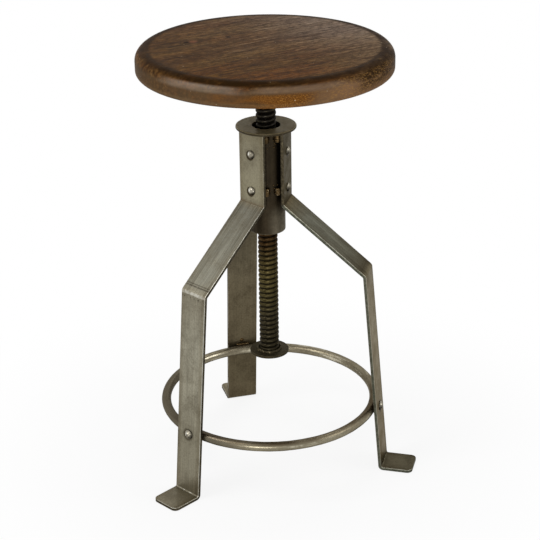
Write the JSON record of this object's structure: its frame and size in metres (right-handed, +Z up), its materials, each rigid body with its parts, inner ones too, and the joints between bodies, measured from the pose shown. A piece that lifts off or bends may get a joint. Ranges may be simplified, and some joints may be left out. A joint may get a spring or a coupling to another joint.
{
  "type": "bar stool",
  "caption": "Height-adjustable bar stool: a round wooden seat on a steel screw spindle, bent flat-bar steel legs riveted to a tube hub, and a round footrest ring.",
  "frame": {"origin": "on the floor, on the axis of the spindle", "axes": "+Z up along the spindle, +Y towards the back leg, +X to the right when the stool is seen from the front with the back leg behind"},
  "size_m": [0.3922, 0.3915, 0.623],
  "materials": {
    "seat_wood": "dark walnut brown, satin wax",
    "leg_steel": "warm grey bare steel, brushed and patinated",
    "ring_steel": "warm grey bare steel, worn bright and pitted",
    "flange_steel": "olive brown patinated steel",
    "tube_steel": "dark brown patinated steel, satin",
    "plate_steel": "dark patinated steel",
    "spindle_steel": "dark oiled steel with brown rust tones",
    "weld_steel": "rough brown weld metal",
    "fastener_steel": "bright worn steel"
  },
  "bodies": {
    "frame": {"hub_flange": "flange_steel", "hub_tube": "tube_steel", "spindle_nut": "tube_steel", "hub_welds": "weld_steel", "leg_front_left": "leg_steel", "leg_front_right": "leg_steel", "leg_back": "leg_steel", "hub_rivets_front_left": "fastener_steel", "hub_rivets_front_right": "fastener_steel", "hub_rivets_back": "fastener_steel", "footrest_ring": "ring_steel", "footrest_welds": "weld_steel", "footrest_rivet_front_left": "fastener_steel", "footrest_rivet_front_right": "fastener_steel", "footrest_rivet_back": "fastener_steel"},
    "stop_disc": {"end_disc": "spindle_steel"},
    "seat_and_spindle": {"spindle": "spindle_steel", "seat_plate": "plate_steel", "seat_screws": "fastener_steel", "seat": "seat_wood"}
  },
  "joints": [
    {"name": "seat_height", "type": "slide", "parent": "frame", "child": "stop_disc", "axis": [0, 0, 1], "range_m": [-0.0617, 0.1813]},
    {"name": "seat_turn", "type": "hinge", "parent": "stop_disc", "child": "seat_and_spindle", "pos_m": [0, 0, 0.4], "axis": [0, 0, 1], "range_deg": [-3060, 9000]}
  ],
  "couplings": [
    {"joint": "seat_height", "follows": "seat_turn", "m_per_rad": 0.0011539}
  ]
}
